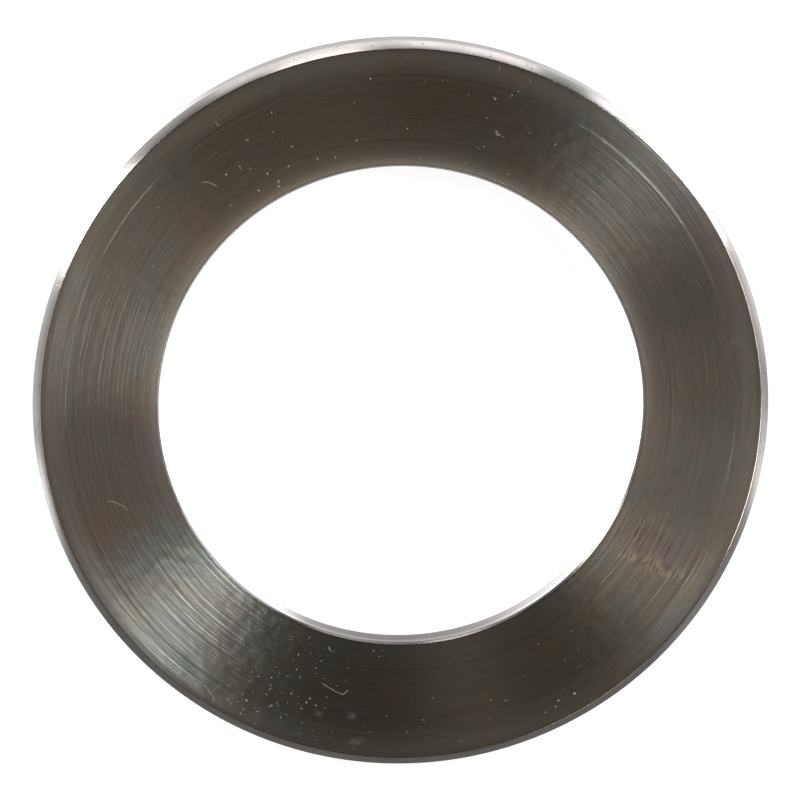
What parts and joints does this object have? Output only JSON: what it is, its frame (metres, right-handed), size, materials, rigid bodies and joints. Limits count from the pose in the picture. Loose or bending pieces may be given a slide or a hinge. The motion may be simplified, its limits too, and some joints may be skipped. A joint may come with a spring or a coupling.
{
  "type": "thrust washer",
  "caption": "Flat hardened steel ring with chamfered rim and bore, which takes the axial load between a shaft's shoulder and the part that turns beside it.",
  "frame": {"origin": "centre of the bore in the plane of the back face, which is the centre of the bottom of the box", "axes": "+Z along the bore's axis, out of the front face; X and Y lie in the back face and are alike"},
  "size_m": [0.076, 0.076, 0.0042],
  "materials": {
    "ground_steel": "both faces ground and lapped to a dark sheen with fine concentric marks, rim, bore and chamfers fine turned",
    "lint": "loose pale dust and short lint fibres on the front face"
  },
  "bodies": {
    "root": {"thrust_washer": "ground_steel"}
  },
  "joints": []
}
